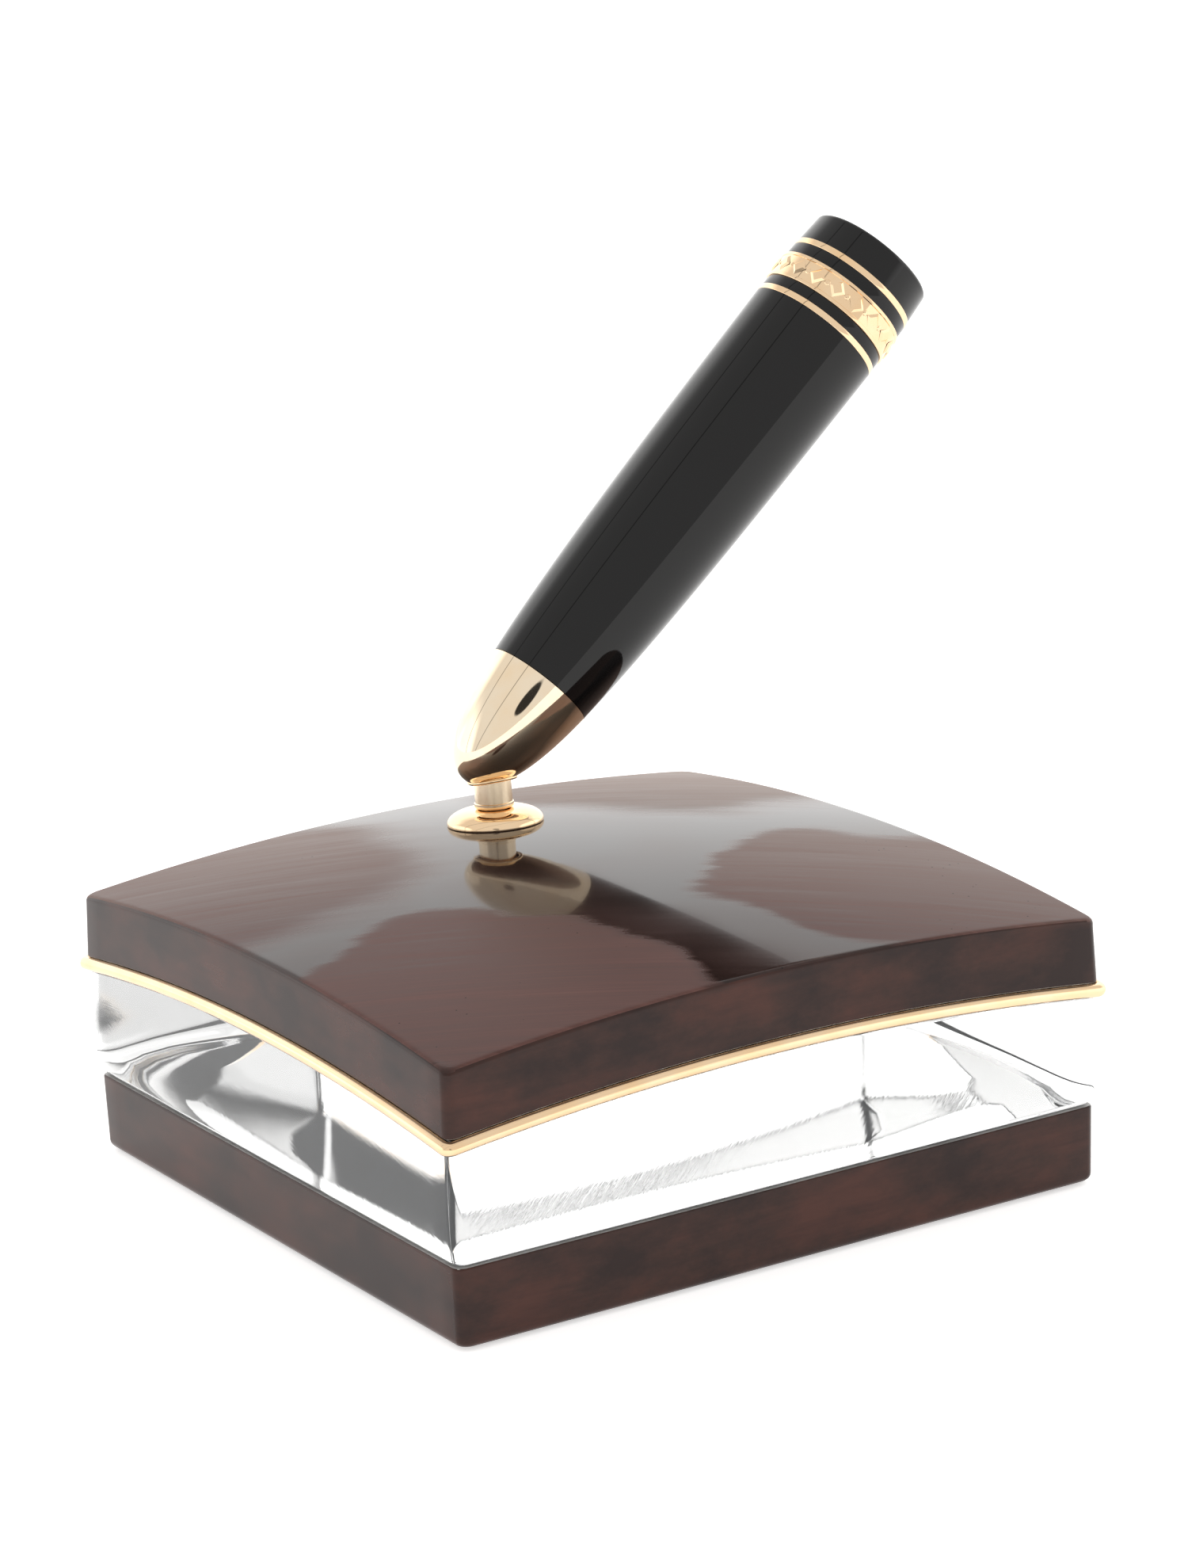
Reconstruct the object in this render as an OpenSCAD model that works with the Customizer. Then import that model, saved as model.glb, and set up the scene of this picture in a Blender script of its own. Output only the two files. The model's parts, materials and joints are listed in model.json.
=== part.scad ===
// Desk pen stand: a holder tube on a swivelling ball stem, carried by a block of
// brown lacquered slabs with a clear crystal layer and a gold bead between them.
// Millimetres. Origin at the bottom centre of the block, +Z up, front face towards -Y.

/* [Block] */
// Width and depth of the block at its foot
block_w = 95; // [90:0.5:100]
// Radius of the block's vertical corners
corner_r = 1.4; // [1:0.1:2]
// How far the felt sole stands out below the base slab
felt_proud = 0.4; // [0.2:0.1:0.8]
// Thickness of the felt sole
felt_t = 1.4; // [1:0.1:2]
// Thickness of the base slab
base_t = 10.4; // [9:0.1:12]
// Height of the crystal at its corners
crystal_h = 14.6; // [13:0.1:17]
// Height of the gold bead
bead_h = 1.8; // [1.4:0.1:2.2]
// How far the bead stands out past the top slab
bead_out = 1.0; // [0.6:0.1:1.2]
// Thickness of the top slab at its corners, above the bead
top_t = 8.5; // [8:0.1:10]
// Radius of the domed top
dome_r = 376; // [360:1:400]
// Radius of the domed seat under the top slab
seat_dome_r = 388; // [370:1:420]

/* [Stem] */
// Sideways place of the stem on the top
mount_x = 3.4; // [0:0.1:6]
// Place of the stem towards the back
mount_y = 26; // [20:0.5:28]
// Height of the ball's centre above the top
ball_h = 10.2; // [10:0.1:11]
// Radius of the ball
ball_r = 3.9; // [3.8:0.05:3.9]
// Radius of the neck
neck_r = 2.55; // [2.4:0.05:2.55]
// Radius of the spindle that turns in the bush
spindle_r = 2; // [1.8:0.1:2]
// Radius of the flange
flange_r = 6.57; // [6:0.01:7]
// Height of the flange
flange_h = 2; // [1.2:0.05:2.2]

/* [Holder] */
// Direction that the holder leans to, about the stem
heading = -6.2; // [-90:0.1:90]
// Lean of the holder away from the stem's axis
lean = 46.6; // [44:0.1:50]
// Largest tilt of the holder either way
tilt_range = 4; // [2:0.5:5]
// Place of the cone's tip, below the ball's centre
cone_tip = 5.5; // [5.3:0.1:5.8]
// Place of the joint between the cone and the tube
cone_top = 10.95; // [10.5:0.05:11.5]
// Radius of the cone and the tube at their joint
joint_r = 7.65; // [7.5:0.05:7.8]
// Place of the lower gold ring
ring_place = 72.75; // [70:0.25:75]
// Radius of the tube under the rings
tube_r = 9.65; // [9.6:0.05:9.8]
// Radius of the bore that takes the pen
pen_bore_r = 7; // [6.5:0.1:7]
// Place of the mouth's edge
mouth = 86.5; // [86:0.1:87]

/* [Hidden] */
$fn = 96;

// Levels of the block
base_z0 = felt_proud;
base_z1 = base_z0 + base_t;
crystal_z1 = base_z1 + crystal_h;
bead_z1 = crystal_z1 + bead_h;
top_z1 = bead_z1 + top_t;

// Outward steps of the sides from the block's foot
base_step = 0.15;
crystal_step = 0.6;
slab_step = 0.8;
bead_step = slab_step + bead_out;
bead_depth = 2.4;
inner_half = block_w / 2 + bead_step - bead_depth;

// Crown heights of the domed faces
slab_reach = (block_w / 2 + slab_step) * sqrt(2);
dome_top = top_z1 + dome_r - sqrt(dome_r * dome_r - slab_reach * slab_reach);
seat_rise = seat_dome_r - sqrt(seat_dome_r * seat_dome_r - slab_reach * slab_reach);
seat_top = crystal_z1 + seat_rise;
strip_top = bead_z1 + seat_rise;

// The stem stands square to the dome
mount_off = norm([mount_x, mount_y]);
mount_tilt = asin(mount_off / dome_r);
mount_z = dome_top - dome_r + sqrt(dome_r * dome_r - mount_off * mount_off);

// Felt sole
felt_inset = 3.5;

// Fastening under the top slab
bush_r = 4;
shaft_gap = 0.05;
slab_land = 5;
recess_r = 8;
recess_depth = 14;
washer_t = 0.6;
nut_t = 1.9;
bush_end = slab_land + washer_t + nut_t + 0.1;
friction_t = 0.65;
lock_nut_t = 1.5;
spindle_end = bush_end + shaft_gap + friction_t + lock_nut_t + 0.1;

// Ball socket
ball_gap = 0.1;
socket_r = ball_r + ball_gap;
seat_low = 1.6;
seat_high = 4.6;
spring_high = 5.4;
plug_high = 7.4;
spigot_low = 7.5;
spigot_r = 6.1;
slot_half = cone_tip * sin(tilt_range) + neck_r + 0.3;
slot_r = neck_r + 0.4;

// Stations of the rings along the holder
ring_w = 0.9;
spacer_low_w = 1.6;
band_w = 3.9;
spacer_high_w = 1.8;
spacer_low_z = ring_place + ring_w;
band_z = spacer_low_z + spacer_low_w;
spacer_high_z = band_z + band_w;
ring_high_z = spacer_high_z + spacer_high_w;
lip_z = ring_high_z + ring_w;
sleeve_r = 8.75;
sleeve_top = lip_z + 1.05;
liner_r = pen_bore_r + 0.7;
liner_low = 24;
liner_top = mouth - 0.5;
nib_chamber_low = 13;
nib_chamber_r = 6.2;

function bezier(a, b, c, d, t) =
    pow(1 - t, 3) * a + 3 * pow(1 - t, 2) * t * b + 3 * (1 - t) * t * t * c + t * t * t * d;
function curve(a, b, c, d, steps) = [for (i = [0:steps]) bezier(a, b, c, d, i / steps)];
function arc(centre, r, from, to, steps) =
    [for (i = [0:steps]) let (t = from + (to - from) * i / steps) centre + r * [cos(t), sin(t)]];

// A square block with rounded upright corners, between two heights
module rounded_block(half, low, high) {
    inner = half - corner_r;
    translate([0, 0, low])
        linear_extrude(height = high - low) {
            square([2 * half, 2 * inner], center = true);
            square([2 * inner, 2 * half], center = true);
            for (x = [-inner, inner], y = [-inner, inner])
                translate([x, y])
                    circle(r = corner_r);
        }
}

// The space below a dome whose crown is at z
module below_dome(r, z) {
    translate([0, 0, z - r])
        sphere(r = r, $fn = 360);
}

module on_mount() {
    translate([mount_x, mount_y, mount_z])
        rotate(a = mount_tilt, v = [-mount_y, mount_x, 0])
            children();
}

module on_holder() {
    on_mount()
        rotate([0, 0, heading])
            translate([0, 0, ball_h])
                rotate([0, lean, 0])
                    children();
}

// A plain round sleeve between two heights
module sleeve(outer, inner, low, high) {
    translate([0, 0, low])
        difference() {
            cylinder(r = outer, h = high - low);
            translate([0, 0, -1])
                cylinder(r = inner, h = high - low + 2);
        }
}

module felt_sole() {
    half = block_w / 2 - felt_inset;
    color("#241d1b")
        translate([-half, -half, 0])
            cube([2 * half, 2 * half, felt_t]);
}

module base_slab() {
    half = block_w / 2;
    pocket = half - felt_inset;
    color("#46302b")
        difference() {
            rounded_block(half + base_step, base_z0, base_z1);
            translate([-pocket, -pocket, -1])
                cube([2 * pocket, 2 * pocket, felt_t + 1]);
        }
}

module crystal_block() {
    color("#e4eaee", 0.4)
        intersection() {
            rounded_block(block_w / 2 + crystal_step, base_z1, seat_top + 1);
            below_dome(seat_dome_r, seat_top);
        }
}

module trim_bead() {
    color("#e8c27a")
        difference() {
            intersection() {
                rounded_block(block_w / 2 + bead_step, base_z1, strip_top + 1);
                below_dome(seat_dome_r, strip_top);
            }
            below_dome(seat_dome_r, seat_top);
            translate([-inner_half, -inner_half, 0])
                cube([2 * inner_half, 2 * inner_half, top_z1 + 10]);
        }
}

module top_slab() {
    color("#4a332e")
        difference() {
            intersection() {
                rounded_block(block_w / 2 + slab_step, base_z1, dome_top + 1);
                below_dome(dome_r, dome_top);
            }
            below_dome(seat_dome_r, seat_top);
            // Rebate that holds the bead
            difference() {
                below_dome(seat_dome_r, strip_top);
                translate([-inner_half, -inner_half, 0])
                    cube([2 * inner_half, 2 * inner_half, top_z1 + 10]);
            }
            on_mount() {
                // Flat seat for the flange
                translate([0, 0, -0.06])
                    cylinder(r = flange_r + 0.05, h = 2);
                translate([0, 0, -slab_land - 1])
                    cylinder(r = bush_r, h = slab_land + 2);
                translate([0, 0, -recess_depth])
                    cylinder(r = recess_r, h = recess_depth - slab_land);
            }
        }
}

module flange() {
    rim_h = 0.25;
    crown_r = 2.9;
    steps = 10;
    color("#e8c27a")
        on_mount()
            translate([0, 0, -0.06])
                rotate_extrude()
                    polygon(concat(
                        [[spindle_r + 0.15, 0], [flange_r - 0.15, 0], [flange_r, 0.15], [flange_r, rim_h]],
                        curve([flange_r, rim_h + 0.05], [flange_r, 1.2], [5, flange_h + 0.06],
                            [crown_r, flange_h + 0.06], steps),
                        [[spindle_r + 0.15, flange_h + 0.06]]
                    ));
}

module bearing_bush() {
    color("#c9a35c")
        on_mount()
            sleeve(bush_r, spindle_r + shaft_gap, -bush_end, -0.06);
}

module clamp_washer() {
    color("#b9bcc0")
        on_mount()
            sleeve(7.2, bush_r, -slab_land - washer_t, -slab_land);
}

module clamp_nut() {
    low = -slab_land - washer_t - nut_t;
    color("#c9a35c")
        on_mount()
            translate([0, 0, low])
                difference() {
                    cylinder(r = 6.4, h = nut_t, $fn = 6);
                    translate([0, 0, -1])
                        cylinder(r = bush_r, h = nut_t + 2);
                }
}

module stem() {
    foot = flange_h + shaft_gap;
    foot_h = 0.5;
    color("#e9d3a3")
        on_mount() {
            translate([0, 0, -spindle_end])
                cylinder(r = spindle_r, h = spindle_end + foot + 1);
            translate([0, 0, foot])
                cylinder(r = neck_r, h = ball_h - foot);
            translate([0, 0, foot])
                cylinder(r = neck_r + 0.2, h = foot_h);
            translate([0, 0, ball_h])
                sphere(r = ball_r);
        }
}

module friction_washer() {
    high = -bush_end - shaft_gap;
    color("#b9bcc0")
        on_mount()
            sleeve(3.8, spindle_r, high - friction_t, high);
}

module lock_nut() {
    high = -bush_end - shaft_gap - friction_t;
    color("#b9bcc0")
        on_mount()
            translate([0, 0, high - lock_nut_t])
                difference() {
                    cylinder(r = 4, h = lock_nut_t, $fn = 6);
                    translate([0, 0, -1])
                        cylinder(r = spindle_r, h = lock_nut_t + 2);
                }
}

module cone() {
    steps = 24;
    outline = curve([0, -cone_tip], [4.7, -cone_tip], [6.7, 2.3], [joint_r, cone_top], steps);
    color("#ecd9ae")
        on_holder()
            difference() {
                rotate_extrude()
                    polygon(concat(outline, [[0, cone_top]]));
                sphere(r = socket_r);
                cylinder(r = socket_r, h = plug_high);
                translate([0, 0, plug_high - 0.01])
                    cylinder(r = spigot_r, h = cone_top);
                // Slot that the neck tilts in
                rotate([0, 180 - lean, 0]) {
                    for (side = [-1, 1])
                        translate([side * (slot_half - slot_r), 0, 0])
                            cylinder(r = slot_r, h = 2 * cone_tip);
                    translate([-(slot_half - slot_r), -slot_r, 0])
                        cube([2 * (slot_half - slot_r), 2 * slot_r, 2 * cone_tip]);
                }
            }
}

module ball_seat() {
    color("#f0ede4")
        on_holder()
            difference() {
                translate([0, 0, seat_low])
                    cylinder(r = socket_r - 0.02, h = seat_high - seat_low);
                sphere(r = socket_r);
                cylinder(r = 1.2, h = 2 * seat_high);
            }
}

// Two opposed dished discs
module disc_springs() {
    outer = 3.7;
    inner = 1.6;
    disc_t = 0.25;
    middle = (seat_high + spring_high) / 2;
    color("#b9bcc0")
        on_holder()
            for (side = [-1, 1])
                translate([0, 0, middle])
                    mirror([0, 0, side > 0 ? 0 : 1])
                        rotate_extrude()
                            polygon([
                                [inner, spring_high - middle - disc_t],
                                [outer, 0],
                                [outer, disc_t],
                                [inner, spring_high - middle]
                            ]);
}

module adjusting_plug() {
    drive_w = 1;
    drive_depth = 0.9;
    color("#c9a35c")
        on_holder()
            difference() {
                translate([0, 0, spring_high])
                    cylinder(r = socket_r, h = plug_high - spring_high);
                translate([-socket_r - 1, -drive_w / 2, plug_high - drive_depth])
                    cube([2 * socket_r + 2, drive_w, drive_depth + 1]);
            }
}

module tube() {
    steps = 16;
    outline = curve([joint_r, cone_top], [9.2, 27], [9.46, 53], [tube_r, ring_place], steps);
    color("#191716")
        on_holder()
            difference() {
                union() {
                    rotate_extrude()
                        polygon(concat([[0, cone_top]], outline, [[0, ring_place]]));
                    translate([0, 0, spigot_low])
                        cylinder(r = spigot_r, h = cone_top - spigot_low + 1);
                    translate([0, 0, ring_place - 1])
                        cylinder(r = sleeve_r, h = sleeve_top - ring_place + 1);
                }
                cylinder(r = 4.6, h = cone_top + 5);
                translate([0, 0, nib_chamber_low])
                    cylinder(r = nib_chamber_r, h = liner_low);
                translate([0, 0, liner_low])
                    cylinder(r = liner_r, h = mouth);
            }
}

module liner() {
    flare = 0.4;
    color("#2b2624")
        on_holder()
            difference() {
                translate([0, 0, liner_low])
                    cylinder(r = liner_r, h = liner_top - liner_low);
                translate([0, 0, liner_low - 1])
                    cylinder(r = pen_bore_r, h = mouth);
                translate([0, 0, liner_top - flare])
                    cylinder(r1 = pen_bore_r, r2 = pen_bore_r + flare + 0.1, h = flare + 0.1);
            }
}

module ring_lower() {
    color("#e8c27a")
        on_holder()
            sleeve(tube_r + 0.03, sleeve_r, ring_place, spacer_low_z);
}

module spacer_lower() {
    color("#191716")
        on_holder()
            sleeve(tube_r - 0.07, sleeve_r, spacer_low_z, band_z);
}

module engraved_band() {
    edge_w = 0.45;
    color("#e8c27a")
        on_holder() {
            sleeve(tube_r + 0.08, sleeve_r, band_z, spacer_high_z);
            for (z = [band_z, spacer_high_z - edge_w])
                sleeve(tube_r + 0.15, sleeve_r, z, z + edge_w);
        }
}

module spacer_upper() {
    color("#191716")
        on_holder()
            sleeve(tube_r - 0.1, sleeve_r, spacer_high_z, ring_high_z);
}

module ring_upper() {
    color("#e8c27a")
        on_holder()
            sleeve(tube_r - 0.08, sleeve_r, ring_high_z, lip_z);
}

module lip_ring() {
    edge = 0.6;
    end_r = 9.15;
    color("#191716")
        on_holder()
            rotate_extrude()
                polygon(concat(
                    [[sleeve_r, lip_z], [tube_r - 0.2, lip_z]],
                    arc([end_r - edge, mouth - edge], edge, 0, 90, 6),
                    [[liner_r + 0.3, mouth], [liner_r, liner_top]],
                    [[liner_r, sleeve_top], [sleeve_r, sleeve_top]]
                ));
}

felt_sole();
base_slab();
crystal_block();
trim_bead();
top_slab();
flange();
bearing_bush();
clamp_washer();
clamp_nut();
stem();
friction_washer();
lock_nut();
cone();
ball_seat();
disc_springs();
adjusting_plug();
tube();
liner();
ring_lower();
spacer_lower();
engraved_band();
spacer_upper();
ring_upper();
lip_ring();
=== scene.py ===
"""Looks of the desk pen stand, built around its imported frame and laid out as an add-on."""

import json
import math
from functools import cache

import bmesh
import bpy
from bpy.props import FloatProperty, FloatVectorProperty, IntProperty, PointerProperty
from mathutils import Matrix, Vector


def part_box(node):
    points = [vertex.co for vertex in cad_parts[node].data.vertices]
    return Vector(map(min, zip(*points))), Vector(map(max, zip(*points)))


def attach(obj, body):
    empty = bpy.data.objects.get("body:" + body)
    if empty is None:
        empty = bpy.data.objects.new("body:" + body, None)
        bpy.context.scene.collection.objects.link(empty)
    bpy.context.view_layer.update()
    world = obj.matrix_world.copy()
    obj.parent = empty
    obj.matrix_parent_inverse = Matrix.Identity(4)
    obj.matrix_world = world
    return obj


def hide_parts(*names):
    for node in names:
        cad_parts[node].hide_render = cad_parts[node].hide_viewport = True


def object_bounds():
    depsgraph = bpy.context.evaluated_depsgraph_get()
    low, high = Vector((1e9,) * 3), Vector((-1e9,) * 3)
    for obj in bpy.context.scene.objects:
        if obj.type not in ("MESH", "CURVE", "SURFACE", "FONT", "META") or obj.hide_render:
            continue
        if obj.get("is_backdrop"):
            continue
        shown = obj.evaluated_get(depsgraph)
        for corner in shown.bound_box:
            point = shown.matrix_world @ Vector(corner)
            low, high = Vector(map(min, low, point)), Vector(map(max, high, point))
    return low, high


bl_info = {
    "name": "Desk pen stand",
    "version": (1, 0, 0),
    "blender": (4, 5, 0),
    "location": "3D View > Sidebar > Pen stand",
    "description": "Builds a layered desk block with a swivelling pen holder",
    "category": "Object",
}

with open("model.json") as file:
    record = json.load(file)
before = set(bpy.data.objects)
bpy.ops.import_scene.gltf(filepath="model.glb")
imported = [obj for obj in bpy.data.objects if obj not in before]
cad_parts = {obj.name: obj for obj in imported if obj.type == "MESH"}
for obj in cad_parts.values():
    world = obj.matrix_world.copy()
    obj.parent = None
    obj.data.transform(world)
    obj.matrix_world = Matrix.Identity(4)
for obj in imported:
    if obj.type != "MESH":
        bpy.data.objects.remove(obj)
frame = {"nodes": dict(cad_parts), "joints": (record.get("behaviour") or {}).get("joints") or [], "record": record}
CAD_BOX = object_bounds()

MM = 0.001
JOINTS = {joint["name"]: joint for joint in frame["joints"]}
MOUNTS = {mount["name"]: mount for mount in frame["record"]["mounts"]}


# ---------------------------------------------------------------- colours and sizes


def linear(hex_code):
    """An sRGB hex colour as linear red, green and blue."""
    parts = [int(hex_code[i : i + 2], 16) / 255 for i in (1, 3, 5)]
    return tuple(c / 12.92 if c <= 0.04045 else ((c + 0.055) / 1.055) ** 2.4 for c in parts)


def colour_property(name, description, hex_code):
    return FloatVectorProperty(
        name=name, description=description, default=linear(hex_code), subtype="COLOR", size=3, min=0, max=1
    )


def length_property(name, description, millimetres):
    return FloatProperty(
        name=name, description=description, default=millimetres * MM, unit="LENGTH", subtype="DISTANCE", min=0
    )


def node_size(node, axis):
    """How far a node reaches along an axis, in metres."""
    low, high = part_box(node)
    return high[axis] - low[axis]


class BlockSizes(bpy.types.PropertyGroup):
    """Sizes of the layered block"""

    foot_width: length_property("Foot width", "Width and depth of the block where it stands", 95)
    corner_radius: length_property("Corner radius", "Radius of the upright corners", 1.4)
    dome_radius: length_property("Dome radius", "Radius of the domed top", 376)
    seat_radius: length_property("Seat radius", "Radius of the domed seat under the top slab", 388)
    edge_radius: length_property("Edge radius", "Rounding along the top slab's upper edge", 0.7)
    bead_height: length_property("Bead height", "Height of the gold bead", 1.8)
    flange_radius: length_property("Flange radius", "Radius of the domed flange round the stem", 6.57)
    flange_height: length_property("Flange height", "Height of the flange", 2.0)
    air_gap: length_property("Air gap", "Gap between the crystal and its neighbours", 0.04)


class HolderSizes(bpy.types.PropertyGroup):
    """Sizes of the holder, along its own axis from the ball's centre"""

    tip: length_property("Tip", "How far the cone reaches past the ball's centre", 5.5)
    joint: length_property("Joint", "Place of the joint between cone and tube", 10.95)
    joint_radius: length_property("Joint radius", "Radius at the joint between cone and tube", 7.65)
    first_ring: length_property("First ring", "Place of the lower gold ring", 72.75)
    barrel_radius: length_property("Barrel radius", "Radius of the tube under the rings", 9.65)
    pen_radius: length_property("Pen radius", "Radius of the bore that takes the pen", 7.0)
    mouth: length_property("Mouth", "Place of the mouth's edge", 86.5)
    ring_width: length_property("Ring width", "Width of each thin gold ring", 0.9)
    lower_spacer: length_property("Lower spacer", "Width of the black ring under the band", 1.6)
    band_width: length_property("Band width", "Width of the engraved band", 3.9)
    upper_spacer: length_property("Upper spacer", "Width of the black ring over the band", 1.8)
    ring_bore: length_property("Ring bore", "Radius of the seat that carries the rings", 8.76)
    slot_half_length: length_property("Slot half length", "Half the length of the neck's slot", 3.23)
    slot_half_width: length_property("Slot half width", "Half the width of the slot", 2.95)
    lip_radius: length_property("Lip radius", "Radius of the lip rolled round the slot", 0.27)
    motif_count: IntProperty(
        name="Motifs", description="Lozenges round the engraved band", default=18, min=6, max=40
    )


class Finishes(bpy.types.PropertyGroup):
    """Colours of the finishes"""

    lacquer: colour_property("Lacquer", "Body of the brown lacquer", "#36201a")
    lacquer_red: colour_property("Lacquer red", "Redder mottling in the lacquer", "#46271f")
    lacquer_dark: colour_property("Lacquer dark", "Darker mottling in the lacquer", "#251512")
    lacquer_top: colour_property("Lacquer top", "Body of the lacquer on the top", "#1f1512")
    wax: colour_property("Wax", "Red-brown of the dull wax left on the top", "#5c403b")
    # Painted glare: a pale colour mixed into the wax on the top towards the back
    painted_glare: colour_property("Painted glare", "Pale bloom of the wax towards the back", "#b09a8e")
    gold: colour_property("Gold", "Warm gold plate of the bead, rings, band and flange", "#f4d6b0")
    pale_gold: colour_property("Pale gold", "Champagne gold plate of the cone and the neck", "#f6e4c9")
    resin: colour_property("Resin", "Black resin of the tube", "#060505")
    crystal: colour_property("Crystal", "Tint of the crystal", "#fcfdfd")
    felt: colour_property("Felt", "Felt under the block", "#2a211e")
    floor: colour_property("Floor", "Pale floor", "#f6f5f4")


GROUPS = {"pen_stand_block": BlockSizes, "pen_stand_holder": HolderSizes, "pen_stand_finish": Finishes}


# ---------------------------------------------------------------- node helper and finishes


def feed(node, inputs):
    """Sets a node's inputs, by name or in their order. One that is given as a socket is linked."""
    for key, value in inputs.items() if isinstance(inputs, dict) else enumerate(inputs):
        if isinstance(value, bpy.types.NodeSocket):
            node.id_data.links.new(value, node.inputs[key])
        else:
            node.inputs[key].default_value = value


def add(tree, kind, inputs=(), out=0, stops=(), **settings):
    """Adds one node with its settings, links and colour stops, and gives the output asked for, or all."""
    made = tree.nodes.new(kind)
    for key, value in settings.items():
        setattr(made, key, value)
    feed(made, inputs)
    for place, (position, colour) in enumerate(stops):
        if place == len(made.color_ramp.elements):
            made.color_ramp.elements.new(position)
        made.color_ramp.elements[place].position = position
        made.color_ramp.elements[place].color = (*colour, 1)
    return made.outputs if out is None else made.outputs[out]


def rgba(colour):
    """The colour with full opacity, as a node's socket takes it."""
    return (*colour, 1.0)


def shade(colour, share):
    """The colour made lighter or darker."""
    return tuple(share * c for c in colour)


def begin(name):
    """A new finish: its material, node tree, shader and the place on the piece."""
    material = bpy.data.materials.new(name)
    material.use_nodes = True
    tree = material.node_tree
    return material, tree, tree.nodes["Principled BSDF"], add(tree, "ShaderNodeTexCoord", out="Object")


def cloudy(tree, place, millimetres, detail=3.0, rough=0.5, stretch=(1, 1, 1), turn=0.0):
    """Cloudy patches about that many millimetres across, drawn out by stretch along axes turned about Z."""
    turn = (0, 0, math.radians(turn))
    drawn = add(
        tree,
        "ShaderNodeMapping",
        {"Vector": place, "Scale": stretch, "Rotation": turn},
        vector_type="TEXTURE",
    )
    cloud = {"Vector": drawn, "Scale": 1 / (millimetres * MM), "Detail": detail, "Roughness": rough}
    return add(tree, "ShaderNodeTexNoise", cloud)


def pits(tree, place, spacing_mm, radius_mm):
    """Small round pits, one to a cell of that spacing: 1 inside each pit."""
    cells = add(tree, "ShaderNodeTexVoronoi", {"Vector": place, "Scale": 1 / (spacing_mm * MM)})
    edge = radius_mm / spacing_mm
    return add(tree, "ShaderNodeMapRange", [cells, edge * 0.6, edge, 1, 0])


def relief(tree, height, strength, distance_mm):
    """The surface's own relief, from a height pattern."""
    bump = {"Height": height, "Strength": strength, "Distance": distance_mm * MM}
    return add(tree, "ShaderNodeBump", bump)


@cache
def brown_lacquer():
    """Polyurethane lacquer, poured over hardwood and buffed.

    A cloudy red-brown lies under a clear gloss, with a few dark pits where dust sat in the wet coat."""
    f = bpy.context.scene.pen_stand_finish
    material, tree, shader, place = begin("buffed_brown_lacquer")
    clouds = cloudy(tree, place, 9, 5, 0.6, (1.8, 1.8, 1))
    # The wood's pores are about 0.2 mm wide, and are drawn 1.6 mm wide so that they show
    grain = cloudy(tree, place, 1.6, 4, 0.6, (9, 9, 1))
    smear = cloudy(tree, place, 6, 4, 0.6, (4, 4, 1))
    stops = [(0.38, f.lacquer_dark), (0.5, f.lacquer), (0.64, f.lacquer_red)]
    body = add(tree, "ShaderNodeValToRGB", [clouds], stops=stops)
    streak = add(tree, "ShaderNodeMapRange", [grain, 0.45, 0.75, 0, 0.5])
    dark = rgba(f.lacquer_dark)
    body = add(tree, "ShaderNodeMix", {"Factor": streak, 6: body, 7: dark}, out=2, data_type="RGBA")
    where = add(tree, "ShaderNodeMapRange", [clouds, 0.5, 0.54, 0, 1])
    specks = add(tree, "ShaderNodeMath", [pits(tree, place, 5.5, 0.26), where], operation="MULTIPLY")
    black = (0.002, 0.001, 0.001, 1)
    body = add(tree, "ShaderNodeMix", {"Factor": specks, 6: body, 7: black}, out=2, data_type="RGBA")
    height = add(tree, "ShaderNodeMath", [cloudy(tree, place, 5, 2), specks], operation="SUBTRACT")
    gloss = add(tree, "ShaderNodeMapRange", [smear, 0, 1, 0.08, 0.3])
    normal = relief(tree, height, 0.12, 0.05)
    feed(shader, {"Base Color": body, "Roughness": gloss, "IOR": 1.34, "Normal": normal})
    return material


# The wax left on the top, as round patches of (x, y, radius, fade at the edge, strength), in millimetres
WAX_PATCHES = (
    (-31, -31, 28, 5, 1.0),
    (31, -28, 27, 5, 0.95),
    (-36, 30, 38, 18, 0.9),
    (36, 40, 34, 14, 0.9),
)
WIPE_TURN = -32  # degrees that the polishing cloth's strokes lie at


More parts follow.
